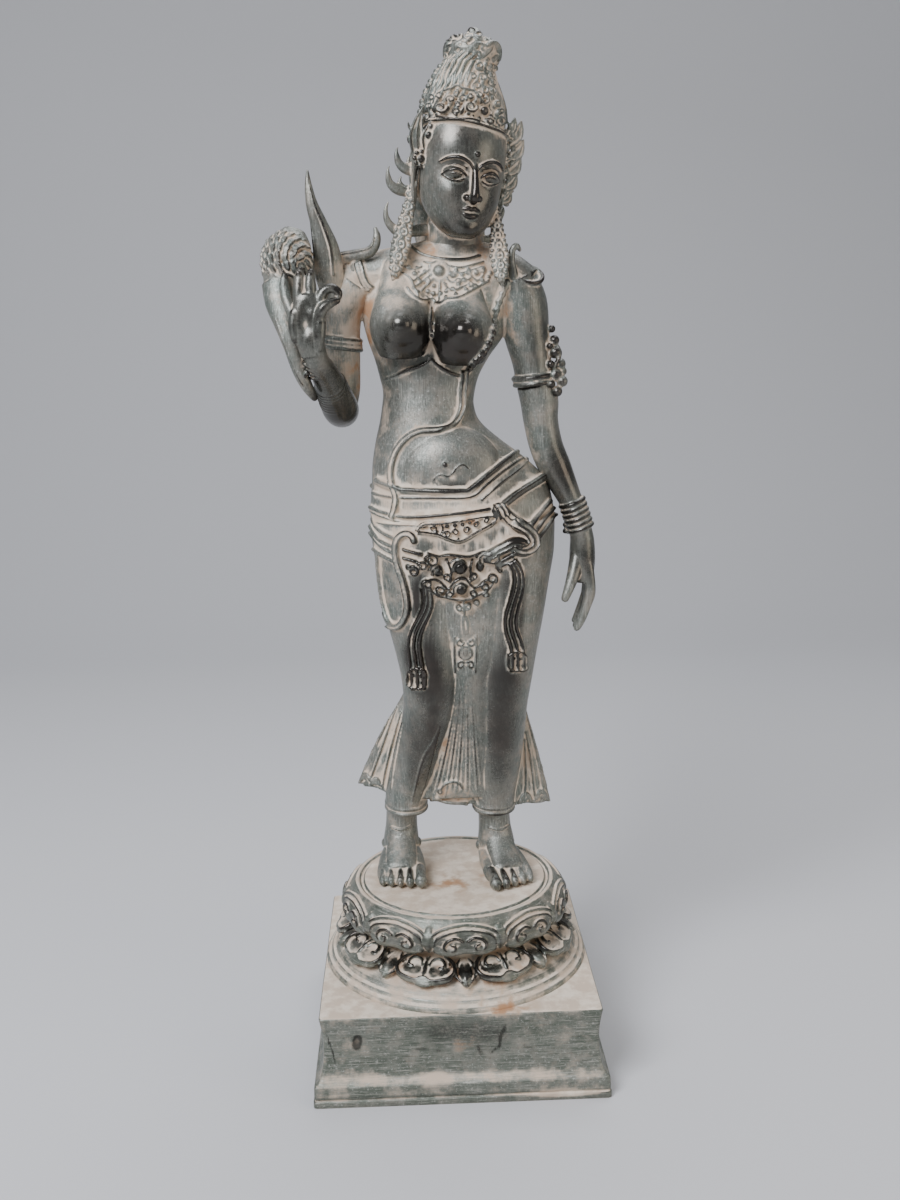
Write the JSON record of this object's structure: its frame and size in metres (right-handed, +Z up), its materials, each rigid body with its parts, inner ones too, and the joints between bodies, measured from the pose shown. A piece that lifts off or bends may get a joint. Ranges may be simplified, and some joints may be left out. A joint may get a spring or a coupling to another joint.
{
  "type": "goddess statue",
  "caption": "Standing goddess in a clinging skirt with a flared back, one hand lowered and one raised with a rice sheaf, on a lotus pedestal with a square plinth",
  "frame": {"origin": "centre of the plinth's underside, on the surface it stands on", "axes": "+Z up, -Y the way the goddess faces, +X towards her left hand"},
  "size_m": [0.2182, 0.201, 0.6934],
  "materials": {
    "figure_bronze": "dark patinated bronze, worn glossy on the high spots, ochre dust in the hollows",
    "pedestal_bronze": "dull green-brown patinated bronze with ochre dust in the hollows"
  },
  "bodies": {
    "root": {"goddess_figure": "figure_bronze", "lotus_pedestal": "pedestal_bronze"}
  },
  "joints": []
}
